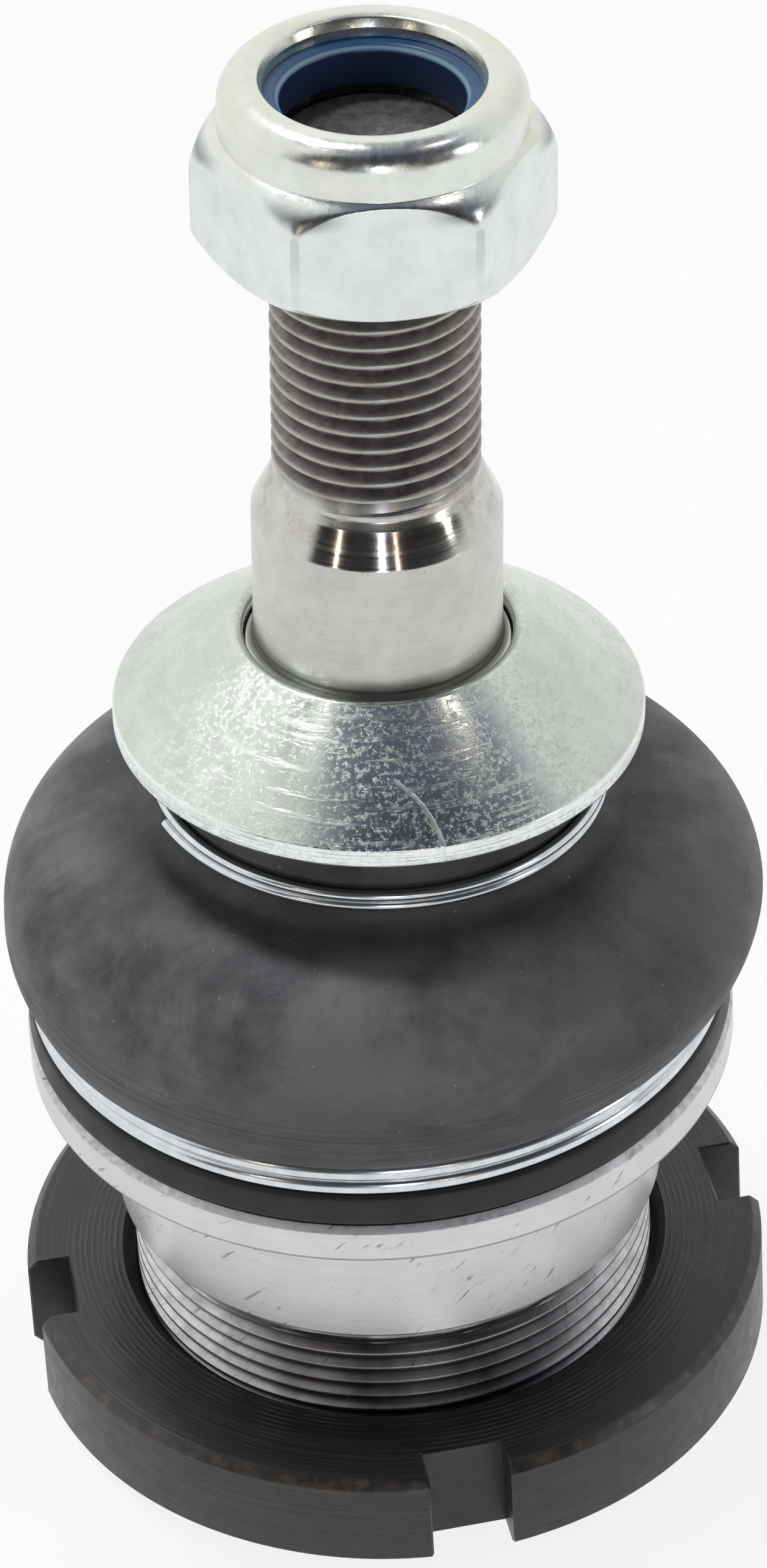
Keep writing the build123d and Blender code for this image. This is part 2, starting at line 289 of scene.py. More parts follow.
def housing_thread(phase, z):
    """60 degree thread with flat crests; it fades to a plain end below and to the undercut above."""
    away = abs(phase - 0.5) * PITCH                # mm from the crest's middle
    depth = min(0.72, max(0.0, away - 0.13) * 1.62)
    fade = max(0.0, min(1.0, (15.9 - z) / 0.6, (z - 3.7) / 0.5))
    ending = max(0.0, min(1.0, (z - 15.2) / 0.4))
    return HOUSING_CREST - max(depth * fade * (1.0 - ending), (HOUSING_CREST - HOUSING_ROOT) * ending)


def make_housing():
    outside = [
        (HOUSING_ROOT, HOUSING_THREAD_HIGH), (HOUSING_ROOT, 16.9, 0.15), (21.4, 16.9, 0.1), (22.0, 17.5, 0.2),
        (22.0, 30.7), (22.35, 31.0), (28.1, 31.0, 0.18), (28.1, 33.75, 0.12), (27.6, 34.25, 0.1),
        (25.2, 34.25), (25.2, 40.75), (25.9, 40.75), (25.9, 41.75), (13.75, 41.75),
    ]
    inside = [
        (12.59, 39.15), (12.59, 38.25), (17.3, 38.25), (17.3, 7.8),
        (18.5, 7.8), (18.5, 4.8), (15.5, 4.8, 0.3),
        (15.5, 2.5, 0.4), (20.0, 2.5, 0.2), (HOUSING_CREST, 3.5), (HOUSING_CREST, HOUSING_THREAD_LOW),
    ]
    thread = threaded(HOUSING_THREAD_LOW, HOUSING_THREAD_HIGH, housing_thread, HOUSING_THREAD_START, UPRIGHT)
    rest = turned(rounded(outside + inside, closed=False), UPRIGHT)
    piece = mesh_object("threaded_housing", *joined(thread, rest), 30)
    return put(piece, "casing", "housing", slot="machined_steel")


# ---- ball stud ------------------------------------------------------------------------------------
BALL_RADIUS, STUD_NECK, PIN = 15.0, 8.6, 9.65
SHOULDER = 38.79                                   # height of the shoulder that the pin stands on
PIN_FILLET = 0.6
THREAD_RADIUS, THREAD_ROOT, THREAD_NECK = 8.0, 7.08, 7.85
STUD_THREAD_LOW, STUD_THREAD_HIGH = 54.7, 83.0
STUD_THREAD_START = 70.925                         # height of a crest at angle 0, less half a pitch


def stud_thread(phase, z):
    """60 degree thread, 0.92 deep, with flat crests; it runs out at the neck and at the end's chamfer."""
    away = abs(phase - 0.5) * PITCH                # mm from the crest's middle
    r = THREAD_RADIUS - min(0.92, max(0.0, away - 0.11) * 1.62)
    root = THREAD_ROOT + (THREAD_NECK - THREAD_ROOT) * min(1.0, max(0.0, (56.9 - z) / 2.2))
    chamfer = 7.0 + max(0.0, STUD_THREAD_HIGH - z)
    neck = THREAD_NECK + max(0.0, z - STUD_THREAD_LOW) * 0.3
    return min(max(r, root), chamfer, neck)


def stud_profile():
    """Outline of the stud from the ball's lowest point up to the thread."""
    profile = [(0.0, -BALL_RADIUS)]
    sweep = math.pi / 2 + math.acos(STUD_NECK / BALL_RADIUS)
    for k in range(1, 26):
        a = -math.pi / 2 + sweep * k / 25
        profile.append((BALL_RADIUS * math.cos(a), BALL_RADIUS * math.sin(a)))
    profile += rounded([
        (STUD_NECK, 12.29), (STUD_NECK, 16.0, 1.0), (14.0, 23.5, 0.5), (14.0, 35.98),
        (PIN + PIN_FILLET, SHOULDER), (PIN + PIN_FILLET, SHOULDER + 0.01),
    ], closed=False)[1:]
    for k in range(1, 9):
        a = math.pi / 2 * k / 8
        across, up = PIN_FILLET * (1 - math.sin(a)), PIN_FILLET * (1 - math.cos(a))
        profile.append((PIN + across, SHOULDER + up))
    profile += rounded([
        (PIN, 39.4), (PIN, 51.05, 0.14), (8.32, 53.8, 0.25), (7.9, 54.35, 0.4),
        (THREAD_NECK, STUD_THREAD_LOW),
    ], closed=False)[1:]
    return profile


def make_ball_stud():
    end_face = [(7.0, STUD_THREAD_HIGH), (6.6, 83.02), (4.0, 82.9), (1.6, 82.55), (0.0, 82.1)]
    low = turned(stud_profile(), STUD)
    thread = threaded(STUD_THREAD_LOW, STUD_THREAD_HIGH, stud_thread, STUD_THREAD_START, STUD)
    piece = mesh_object("threaded_ball_stud", *joined(low, thread, turned(end_face, STUD)), 34)
    return put(piece, "stud", "ball_stud", slot="stud_steel")


# ---- dust cone ------------------------------------------------------------------------------------
def make_cone():
    outside = [(11.25, 40.18, 0.5), (20.7, 33.1, 0.25)]
    underside = [(20.68, 31.1, 0.35), (11.1, 38.3), (10.45, 38.88, 0.1), (10.45, 39.8, 0.5)]
    piece = mesh_object("loose_dust_cone", *turned(rounded(outside + underside), STUD, True), 40)
    return put(piece, "cone", "dust_cone", slot="zinc_plate")


# ---- lock nut -------------------------------------------------------------------------------------
NUT_LOW, NUT_TOP = 74.55, 88.9
FLAT, NUT_CORNER = 12.0, 0.9         # half the width across flats, and the corners' rounding
NUT_TURN = 32.9                      # degrees from +X to the middle of a flat
CHAMFER_FOOT, FLAT_TOP = 11.6, NUT_TOP - 4.15
CHAMFER_SLOPE = math.tan(math.radians(30))
CHAMFER_END, CHAMFER_DROP = 11.75, 0.0866     # radius where its curve ends, and the height from its foot
FLAT_STEPS = (0.07, 0.2, 0.35, 0.5, 0.65, 0.8, 0.93, 0.985, 1.0)


def hexagon():
    """(angle, radius) columns of the hexagon with its rounded corners."""
    columns = []
    inner = FLAT - NUT_CORNER
    half_side = inner * math.tan(math.radians(30))
    steps = [-step for step in reversed(FLAT_STEPS)] + list(FLAT_STEPS)
    places = [(FLAT, half_side * step) for step in steps]
    for k in range(1, 6):
        a = math.radians(60 * k / 6)
        places.append((inner + NUT_CORNER * math.cos(a), half_side + NUT_CORNER * math.sin(a)))
    for side in range(6):
        middle = math.radians(60 * side + NUT_TURN)
        columns += [(middle + math.atan2(y, x), math.hypot(x, y)) for x, y in places]
    return columns


def edge_rows(columns, base, sign, melt, steps=8):
    """Rows over a 30 degree chamfer that starts from its foot at a height, and melts into the corners."""
    rows = []
    for k in range(steps):
        t = k / (steps - 1)
        row = []
        for _, big in columns:
            cone_height = base - sign * (big - CHAMFER_FOOT) * CHAMFER_SLOPE
            edge = cone_height - sign * (0.14 + melt * max(0.0, (big - 12.02) / 1.7) ** 2.2)
            curve = zip((big, edge), (big, cone_height), (CHAMFER_END, base - sign * CHAMFER_DROP))
            row.append(tuple((1 - t) ** 2 * p + 2 * t * (1 - t) * q + t * t * r for p, q, r in curve))
        rows.append(row)
    return rows


def collar_profile():
    """Outline of the collar from the top chamfer's foot over the rolled lip to the nylon ring's pocket."""
    profile = rounded([
        (CHAMFER_END, FLAT_TOP - CHAMFER_DROP), (CHAMFER_FOOT, FLAT_TOP, 0.12),
        (CHAMFER_FOOT, NUT_TOP - 3.4),
    ], closed=False)[1:]
    for k in range(12):
        a = math.pi / 2 * k / 12
        profile.append((9.3 + 2.3 * math.cos(a) ** 0.92, NUT_TOP - 2.25 + 2.25 * math.sin(a)))
    profile.append((9.3, NUT_TOP))
    profile += rounded([
        (9.3, NUT_TOP), (8.55, NUT_TOP - 0.18, 0.3), (8.2, NUT_TOP - 0.9, 0.2), (8.2, NUT_TOP - 1.7),
        (10.25, NUT_TOP - 1.7), (10.25, NUT_TOP - 5.3),
    ], closed=False)[1:]
    return profile


def make_lock_nut():
    columns = hexagon()
    bore = rounded([
        (8.06, NUT_TOP - 5.3), (8.06, NUT_LOW + 0.9), (8.96, NUT_LOW, 0.1), (11.45, NUT_LOW),
    ], closed=False)
    rows = [[place] * len(columns) for place in bore]
    rows += edge_rows(columns, NUT_LOW, -1, 0.5)[::-1]
    rows += edge_rows(columns, FLAT_TOP, 1, 2.0)
    rows += [[place] * len(columns) for place in collar_profile()]
    rings = [
        [tuple(STUD @ Vector((r * math.cos(a), r * math.sin(a), z))) for (a, _), (r, z) in zip(columns, row)]
        for row in rows
    ]
    piece = mesh_object("hexagon_lock_nut", *swept(rings, True), 35)
    return put(piece, "nut", "lock_nut", slot="zinc_nut")


def make_insert():
    profile = rounded([
        (10.2, NUT_TOP - 5.25), (10.2, NUT_TOP - 1.75, 0.2), (7.4, NUT_TOP - 1.75, 0.2),
        (6.91, NUT_TOP - 2.2, 0.3), (6.91, NUT_TOP - 5.0, 0.3), (7.3, NUT_TOP - 5.25),
    ])
    piece = mesh_object("nylon_locking_ring", *turned(profile, STUD, True), 40)
    return put(piece, "insert", "nylon_insert", slot="blue_nylon")


# ---- wire rings -----------------------------------------------------------------------------------
def ring_path(matrix, r, low, rise, start, spring=0.0):
    """Path of a two-turn wire ring from an angle in degrees: a level turn, a step up, a level turn on top.
    The first end springs out a little."""
    path = []
    axes = matrix.to_3x3()
    up = axes @ Vector((0, 0, 1))
    count, whole, step_middle, step_length = 480, 686, 343, 26
    for k in range(count + 1):
        a = whole * k / count
        step = max(0.0, min(1.0, (a - step_middle) / step_length + 0.5))
        step = step * step * (3 - 2 * step)
        out = axes @ Vector((math.cos(math.radians(start + a)), math.sin(math.radians(start + a)), 0))
        reach = r + spring * max(0.0, 1 - a / 45) ** 2
        path.append((matrix @ Vector((0, 0, low + rise * step)) + out * reach, out, up))
    return path


def wire(name, path, radius, sides=16):
    """Round wire along a path of (point, outward, up), with blunt ends whose edges are broken."""
    def circle(point, out, up, r):
        turns = [2 * math.pi * k / sides for k in range(sides)]
        return [tuple(point + out * (r * math.cos(a)) + up * (r * math.sin(a))) for a in turns]

    def end(last, before):
        along = (last[0] - before[0]).normalized()
        return circle(last[0] + along * radius * 0.2, last[1], last[2], radius * 0.8)

    rings = [end(path[0], path[1])]
    rings += [circle(point, out, up, radius) for point, out, up in path]
    rings.append(end(path[-1], path[-2]))
    points, faces = swept(rings, False)
    faces.append(tuple(range(sides))[::-1])
    faces.append(tuple(range(len(points) - sides, len(points))))
    return mesh_object(name, points, faces, 40)


def make_wire_rings():
    lower = wire("lower_wire_ring", ring_path(UPRIGHT, 27.075, 38.025, 1.4, 100), 0.72)
    put(lower, "casing", "lower_clamp_ring", slot="bright_wire")
    upper = wire("upper_wire_ring", ring_path(STUD, 17.5, 25.7, 0.87, -160, 0.3), 0.45)
    put(upper, "swivel", "upper_clamp_ring", slot="bright_wire")
    return lower, upper


# ---- rubber boot ----------------------------------------------------------------------------------
SET = Vector((0.69, 0.27, 0))         # the rubber has taken a set: its widest ring stands this far off
BELLY_MIDDLE = 44.98
# A row of the boot is (r, z, lean, set): its radius, its height over the ring nut's base, its share of the
# stud's lean and its share of the set.


def boot_ring(r, z, share, settled):
    return ring(r, z - BALL.z, Matrix.Translation(SET * settled) @ leaned(share))


def boot_foot():
    """Lip on the flange, the lower wire ring's groove, and the turn out to the belly."""
    return [(r, z, 0.0, 0.0) for r, z in rounded([
        (25.55, 34.6), (25.9, 34.55), (28.0, 34.55, 0.35), (27.75, 37.25, 0.5), (26.35, 37.25, 0.1),
        (26.3, 40.2, 0.1), (27.75, 40.22, 0.3), (28.25, 40.75),
    ], closed=False)]


def boot_belly():
    rows = []
    for k in range(44):
        a = math.radians(-27 + 113 * k / 43)
        up = max(0.0, math.sin(a))
        z = BELLY_MIDDLE + 8.5 * math.sin(a)
        below = max(0.0, min(1.0, (z - 39.5) / (BELLY_MIDDLE - 39.5)))
        rows.append((17.889 + 12.06 * math.cos(a), z, 0.15 * below + 0.85 * up, below * (1 - up)))
    return rows


def boot_collar():
    """Shoulder, the upper wire ring's seat and the collar under the cone."""
    return [(r, z, 1.0, 0.0) for r, z in rounded([
        (18.0, 53.75), (17.3, 54.6), (17.3, 55.15, 0.1), (17.0, 55.25), (17.0, 57.35), (17.3, 57.5, 0.1),
        (17.3, 63.35, 0.3), (14.35, 65.55, 0.3),
    ], closed=False)]


def boot_inside():
    rows = [(14.3, 64.9, 1.0, 0.0), (14.3, 54.4, 1.0, 0.0), (15.4, 52.7, 1.0, 0.0)]
    for k in range(12):
        a = math.radians(84 - 84 * k / 11)
        up = math.sin(a)
        rows.append((15.9 + 11.8 * math.cos(a), BELLY_MIDDLE + 6.6 * up, 0.15 + 0.85 * up, 1 - up))
    bead = [(26.3, 41.9, 0.05, 0.2), (26.2, 41.5, 0.0, 0.0), (26.2, 40.5, 0.0, 0.0), (25.55, 39.9, 0.0, 0.0)]
    return rows + bead


def make_boot():
    rows = boot_foot() + boot_belly() + boot_collar() + boot_inside()
    boot = mesh_object("rubber_boot", *swept([boot_ring(*row) for row in rows], True), 50)
    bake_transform(boot)
    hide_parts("boot")
    return boot


ring_nut = make_ring_nut()
housing = make_housing()
ball_stud = make_ball_stud()
cone = make_cone()
lock_nut = make_lock_nut()
insert = make_insert()
lower_ring, upper_ring = make_wire_rings()
boot = make_boot()


# ---- materials ------------------------------------------------------------------------------------
def linear(hex_colour):
    """Linear RGBA of an #rrggbb colour."""
    values = [int(hex_colour[i:i + 2], 16) / 255 for i in (1, 3, 5)]
    return tuple(v / 12.92 if v <= 0.04045 else ((v + 0.055) / 1.055) ** 2.4 for v in values) + (1.0,)


class Surface:
    """A procedural material on one principled shader, with coordinates in millimetres of a turned frame:
    the leaning stud's, whose heights count from the ball, or the upright one of the housing."""

    def __init__(self, name, roughness=0.5, metallic=0.0, leaning=False, **plain):
        self.material = bpy.data.materials.new(name)
        self.material.use_nodes = True
        self.tree = self.material.node_tree
        self.shader = self.tree.nodes["Principled BSDF"]
        self.shader.inputs["Roughness"].default_value = roughness
        self.shader.inputs["Metallic"].default_value = metallic
        for key, value in plain.items():
            self.shader.inputs[key].default_value = value
        mapping = self.add("ShaderNodeMapping")
        self.link(self.add("ShaderNodeTexCoord").outputs["Object"], mapping.inputs["Vector"])
        mapping.inputs["Scale"].default_value = (1 / MM, 1 / MM, 1 / MM)
        if leaning:
            inverse = STUD.inverted()
            mapping.inputs["Rotation"].default_value = inverse.to_euler("XYZ")
            mapping.inputs["Location"].default_value = inverse.translation
        self.point = mapping.outputs["Vector"]
        split = self.add("ShaderNodeSeparateXYZ")
        self.link(self.point, split.inputs[0])
        self.x, self.y, self.z = split.outputs
        self.radius = self.length(self.x, self.y)
        self.angle = self.math("ARCTAN2", self.y, self.x)

    # nodes
    def add(self, kind, **settings):
        node = self.tree.nodes.new(kind)
        for key, value in settings.items():
            setattr(node, key, value)
        return node

    def link(self, a, b):
        self.tree.links.new(a, b)

    def feed(self, socket, value):
        if isinstance(value, (int, float, tuple)):
            socket.default_value = value
        else:
            self.link(value, socket)

    # numbers
    def math(self, operation, a, b=None):
        node = self.add("ShaderNodeMath", operation=operation)
        self.feed(node.inputs[0], a)
        if b is not None:
            self.feed(node.inputs[1], b)
        return node.outputs[0]

    def times(self, first, *others):
        for other in others:
            first = self.math("MULTIPLY", first, other)
        return first

    def plus(self, a, b):
        return self.math("ADD", a, b)

    def minus(self, a, b):
        return self.math("SUBTRACT", a, b)

    def length(self, x, y):
        return self.math("SQRT", self.plus(self.times(x, x), self.times(y, y)))

    def between(self, value, low, high, first=0.0, last=1.0):
        """Value mapped from low..high to first..last, clamped."""
        node = self.add("ShaderNodeMapRange", clamp=True)
        self.feed(node.inputs["Value"], value)
        for key, number in (("From Min", low), ("From Max", high), ("To Min", first), ("To Max", last)):
            node.inputs[key].default_value = number
        return node.outputs["Result"]

    # places
    def vector(self, x, y, z):
        node = self.add("ShaderNodeCombineXYZ")
        for socket, value in zip(node.inputs, (x, y, z)):
            self.feed(socket, value)
        return node.outputs[0]

    def round_point(self, across=1.0, along=1.0, around=1.0):
        """Coordinates that follow a turned surface: radius, height, and the circle's own direction."""
        unit = self.vector(
            self.times(self.math("COSINE", self.angle), around),
            self.times(self.math("SINE", self.angle), around),
            0.0,
        )
        heights = self.vector(0.0, 0.0, self.plus(self.times(self.radius, across), self.times(self.z, along)))
        node = self.add("ShaderNodeVectorMath", operation="ADD")
        self.link(unit, node.inputs[0])
        self.link(heights, node.inputs[1])
        return node.outputs[0]

    # patterns
    def noise(self, scale, detail=3.0, rough=0.55, point=None, distortion=0.0):
        node = self.add("ShaderNodeTexNoise")
        self.link(point or self.point, node.inputs["Vector"])
        node.inputs["Scale"].default_value = scale
        node.inputs["Detail"].default_value = detail
        node.inputs["Roughness"].default_value = rough
        node.inputs["Distortion"].default_value = distortion
        return node.outputs["Fac"]

    def spots(self, scale):
        node = self.add("ShaderNodeTexVoronoi")
        self.link(self.point, node.inputs["Vector"])
        node.inputs["Scale"].default_value = scale
        return node.outputs["Distance"]

    def blend(self, fac, a, b):
        node = self.add("ShaderNodeMix", data_type="RGBA")
        self.feed(node.inputs[0], fac)
        self.feed(node.inputs[6], a)
        self.feed(node.inputs[7], b)
        return node.outputs[2]

    def two_colours(self, pattern, low, high, first, last):
        """Base that changes from one colour to another with a pattern."""
        return self.blend(self.between(pattern, low, high), linear(first), linear(last))

    def over(self, base, fac, hex_colour):
        """Base with a colour laid over it."""
        return self.blend(fac, base, linear(hex_colour))

    def bump(self, height, distance, strength=1.0, after=None):
        """Bump of a height field of 0..1; distance in millimetres."""
        node = self.add("ShaderNodeBump")
        self.feed(node.inputs["Height"], height)
        node.inputs["Strength"].default_value = strength
        node.inputs["Distance"].default_value = distance * MM
        if after is not None:
            self.link(after, node.inputs["Normal"])
        return node.outputs["Normal"]

    # the shader
    def finish(self, colour, normal=None, roughness=None, metallic=None):
        values = {"Base Color": colour, "Normal": normal, "Roughness": roughness, "Metallic": metallic}
        for name, value in values.items():
            if value is not None:
                self.feed(self.shader.inputs[name], value)

    def brushed(self, amount):
        """Turning marks: highlights stretch across the marks, which run round the axis."""
        around = self.add("ShaderNodeTangent", direction_type="RADIAL", axis="Z")
        self.link(around.outputs[0], self.shader.inputs["Tangent"])
        self.shader.inputs["Anisotropic"].default_value = amount
        self.shader.inputs["Anisotropic Rotation"].default_value = 0.25

    def on(self, *pieces):
        for piece in pieces:
            slots = piece.data.materials
            if len(slots):
                for i in range(len(slots)):
                    slots[i] = self.material
            else:
                slots.append(self.material)


def paint_ring_nut():
    """Black oxide with turning marks, browned where the rim is worn; the slots are unworn and darker."""
    s = Surface("black_oxide", 0.36, 0.0, IOR=1.58)
    marks = s.noise(1.0, 4, 0.6, s.round_point(4.0, 4.0, 1.2))
    turns = s.math("SINE", s.plus(s.times(s.radius, 13.0), s.times(s.noise(0.3, 2), 3.0)))
    turns = s.times(s.between(turns, 0.1, 1.0), s.between(s.noise(0.22, 3), 0.42, 0.6, 0.1, 1.0))
    upper_face = s.times(s.between(s.radius, 28.0, 25.5), s.between(s.z, 8.7, 8.85))
    turns = s.times(turns, upper_face)
    from_slot = s.math("PINGPONG", s.plus(s.angle, math.pi * 4 - FIRST_SLOT), math.pi / 4)
    slot_width = s.between(s.times(s.math("SINE", from_slot), s.radius), HALF_SLOT + 0.2, HALF_SLOT + 0.05)
    in_slot = s.times(slot_width, s.between(s.radius, 26.3, 26.45))
    wear = s.times(s.between(s.noise(0.6, 6, 0.72), 0.46, 0.66), s.between(s.z, 7.6, 8.6, 0.15, 1.0))
    base = s.two_colours(s.noise(0.16, 4, 0.6), 0.35, 0.7, "#141312", "#201e1d")
    base = s.over(base, s.times(s.between(marks, 0.48, 0.66), 0.4), "#45413d")
    base = s.over(base, s.times(wear, s.between(s.radius, 29.2, 29.6), 0.55), "#6b5c4c")
    base = s.over(base, s.times(turns, 0.35), "#57534d")
    base = s.over(base, in_slot, "#121213")
    rough = s.between(s.noise(0.7, 5, 0.6), 0.3, 0.7, 0.3, 0.46)
    grain = s.bump(s.noise(6.0, 3, 0.6), 0.02, 0.5, s.bump(marks, 0.07, 0.6))
    s.finish(base, s.bump(turns, 0.06, 0.6, grain), rough)
    s.on(ring_nut)


def paint_housing():
    """Machined steel with nicks and slanted scratches; its thread is grimy, with a painted dark reflection at
    the front, and painted shade in the undercut's groove and along its upper edge.
    """
    s = Surface("machined_steel", 0.3, 1.0)
    marks = s.noise(1.0, 3, 0.6, s.round_point(6.0, 6.0, 0.6))
    base = s.two_colours(s.noise(0.2, 4, 0.6), 0.3, 0.7, "#dcdcdf", "#d1d0d2")
    base = s.over(base, s.between(marks, 0.35, 0.7, 0.0, 0.15), "#c6c6c7")
    nicks = s.times(s.between(s.noise(0.9, 6, 0.8), 0.655, 0.68), s.between(s.noise(0.25, 3), 0.4, 0.55))
    base = s.over(base, s.times(nicks, 0.7), "#57524c")
    way_round = s.times(s.angle, 22.0)
    slanted = s.vector(s.times(s.plus(way_round, s.z), 0.5), s.times(s.minus(way_round, s.z), 3.4), 0.0)
    scratches = s.between(s.noise(0.42, 3, 0.6, slanted), 0.63, 0.67)
    scratches = s.times(scratches, s.between(s.noise(0.12, 2), 0.42, 0.52))
    base = s.over(base, s.times(scratches, 0.6), "#4c4a4a")
    flange_line = s.times(s.between(s.z, 30.98, 31.02), s.between(s.z, 31.32, 31.22))
    flange_line = s.times(flange_line, s.between(s.radius, 27.6, 27.9))
    base = s.over(base, s.times(flange_line, 0.55), "#55565a")
    in_thread = s.between(s.z, 16.2, 15.6)
    # painted dark reflection: the thread is painted darker towards the front, in vertical streaks
    front = s.between(s.math("ABSOLUTE", s.plus(s.angle, math.radians(86))), 0.85, 0.45)
    dark_reflection_streaks = s.between(s.noise(1.0, 3, 0.6, s.round_point(0.1, 0.1, 5.0)), 0.38, 0.62, 1.0, 0.6)
    base = s.over(base, s.times(front, in_thread, dark_reflection_streaks), "#6d6d70")
    grime = s.between(s.noise(0.5, 6, 0.7), 0.4, 0.62)
    base = s.over(base, s.times(in_thread, grime, 0.5), "#8d857a")
    # painted shade: the groove at the undercut's root and the edge over the undercut are painted dark
    groove_shade = s.times(s.between(s.radius, 20.5, HOUSING_ROOT, 0.0, 0.9), s.between(s.z, 15.4, 15.2))
    base = s.over(base, groove_shade, "#3c3834")
    undercut_shade_line = s.times(s.between(s.z, 16.75, 16.85), s.between(s.z, 17.15, 17.0))
    base = s.over(base, undercut_shade_line, "#4a4744")
    bevel = s.times(s.between(s.z, 33.62, 33.72), s.between(s.radius, 27.5, 27.6))
    glint = s.between(s.noise(1.3, 4, 0.7), 0.4, 0.62, 0.35, 1.0)
    rough = s.plus(s.between(marks, 0.3, 0.7, 0.3, 0.4), s.times(bevel, glint, 0.4))
    s.finish(base, s.bump(marks, 0.008, 0.5), rough)
    s.brushed(0.3)
    s.on(housing)


def paint_ball_stud():
    """Thread painted dark with light crests, partly as painted shade in its grooves; satin neck and pin,
    polished chamfer, dark end face, and painted shade where the pin leaves the cone.
    """
    s = Surface("stud_steel", 0.25, 1.0, leaning=True)
    marks = s.noise(1.0, 3, 0.6, s.round_point(6.0, 6.0, 0.5))
    base = s.two_colours(s.noise(0.4, 4, 0.6), 0.3, 0.7, "#d0d0cc", "#c2c1bc")
    stain = s.times(s.between(s.noise(0.45, 5, 0.7), 0.46, 0.62), s.between(s.z, 51.0, 53.0))
    base = s.over(base, s.times(stain, 0.6), "#a49a86")
    # painted shade: a thin dark line round the pin in the gap where it comes out of the cone
    pin_foot_shade_line = s.times(s.between(s.z, 39.75, 39.85), s.between(s.z, 40.15, 40.05))
    base = s.over(base, s.times(pin_foot_shade_line, 0.5), "#4d4a48")
    pits = s.times(s.between(s.noise(1.4, 5, 0.75), 0.64, 0.68), s.between(s.z, 49.0, 54.5, 0.25, 1.0))
    base = s.over(base, s.times(pits, 0.8), "#5d5348")
    in_thread = s.between(s.z, 54.9, 55.9)
    # the thread is painted dark and its crests stay light: partly the thread's own darker colour, partly
    # painted shade in its grooves
    crest = s.between(s.radius, 7.8, 7.97, 0.0, 0.6)
    dark = s.two_colours(s.noise(0.8, 4, 0.7), 0.35, 0.7, "#6e6a6a", "#928e8c")
    base = s.blend(s.times(in_thread, s.minus(1.0, crest)), base, dark)
    end_face = s.times(s.between(s.z, 82.0, 82.1), s.between(s.radius, 7.1, 7.0))
    end_colour = s.two_colours(s.noise(1.5, 5, 0.7), 0.35, 0.65, "#4c4846", "#757070")
    base = s.blend(end_face, base, end_colour)
    chamfer = s.times(s.between(s.z, 51.0, 51.2), s.between(s.z, 54.0, 53.7))
    rough = s.minus(s.between(marks, 0.3, 0.7, 0.24, 0.34), s.times(chamfer, 0.15))
    rough = s.plus(rough, s.times(in_thread, 0.08))
    s.finish(base, s.bump(marks, 0.012, 0.6), rough, s.minus(1.0, s.times(end_face, 0.7)))
    s.brushed(0.45)
    s.on(ball_stud)


def paint_cone():
    """Zinc plate: matt flecks in the gloss, turning scratches, and one slanting scratch at the front."""
    s = Surface("zinc_plate", 0.3, 1.0, leaning=True)
    cloud = s.noise(0.35, 5, 0.6)
    flecks = s.between(s.noise(2.2, 9, 0.8), 0.52, 0.66)
    scratches = s.between(s.noise(1.0, 5, 0.7, s.round_point(6.0, 6.0, 1.3)), 0.53, 0.66)
    scratches = s.times(scratches, s.between(cloud, 0.42, 0.6, 0.25, 1.0))
    # the slanting scratch is part of a circle, in the stud's frame
    centre_x, centre_y, scratch_radius = -2.58, -22.87, 7.42
    away = s.length(s.minus(s.x, centre_x), s.minus(s.y, centre_y))
    away = s.plus(away, s.times(s.noise(1.2, 3), 0.25))
    slant = s.between(s.math("ABSOLUTE", s.minus(away, scratch_radius)), 0.22, 0.06)
    slant = s.times(slant, s.between(s.x, 0.3, 0.8), s.between(s.y, -15.8, -16.4))
    base = s.two_colours(cloud, 0.4, 0.62, "#d6dcd3", "#cbd2c8")
    base = s.over(base, s.times(scratches, 0.3), "#f2f5f3")
    # painted highlight: the rim's outer face is painted lighter than the rest of the cone
    base = s.over(base, s.between(s.radius, 20.5, 20.65), "#eef2f0")
    matt = s.math("MAXIMUM", s.times(flecks, 0.6), s.math("MAXIMUM", scratches, slant))
    normal = s.bump(slant, 0.05, 0.6, s.bump(scratches, 0.03, 0.5, s.bump(flecks, 0.02, 0.4)))
    s.finish(base, normal, s.between(matt, 0.0, 1.0, 0.2, 0.44))
    s.brushed(0.35)
    s.on(cone)


def paint_lock_nut():
    """Bright zinc with painted dark reflections along the corners and on their chamfers, and a faint yellow
    stain on the collar.
    """
    s = Surface("zinc_nut", 0.3, 1.0, leaning=True)
    base = s.two_colours(s.noise(0.35, 6, 0.65), 0.35, 0.65, "#e9edea", "#dbe0dc")
    # painted dark reflections: the rounded corners and the chamfer's corners are painted darker
    corner = s.times(s.between(s.radius, 13.6, 13.66), s.between(s.z, 76.0, 82.5))
    base = s.over(base, s.times(corner, 0.4), "#8f979c")
    painted_dark_chamfer_corners = s.times(s.between(s.radius, 12.3, 13.1), s.between(s.z, 82.6, 83.4))
    base = s.over(base, s.times(painted_dark_chamfer_corners, 0.75), "#6a7076")
    stain = s.between(s.noise(0.2, 4, 0.6), 0.42, 0.6, 0.35, 1.0)
    stain = s.times(stain, s.between(s.z, 83.8, 84.6, 0.0, 0.7), s.between(s.y, -9.0, -2.0, 0.3, 1.0))
    base = s.over(base, stain, "#dcdcc4")
    rough = s.between(s.noise(1.1, 5, 0.6), 0.3, 0.7, 0.2, 0.32)
    s.finish(base, s.bump(s.noise(1.6, 5, 0.6), 0.05, 0.3), rough)
    s.on(lock_nut)


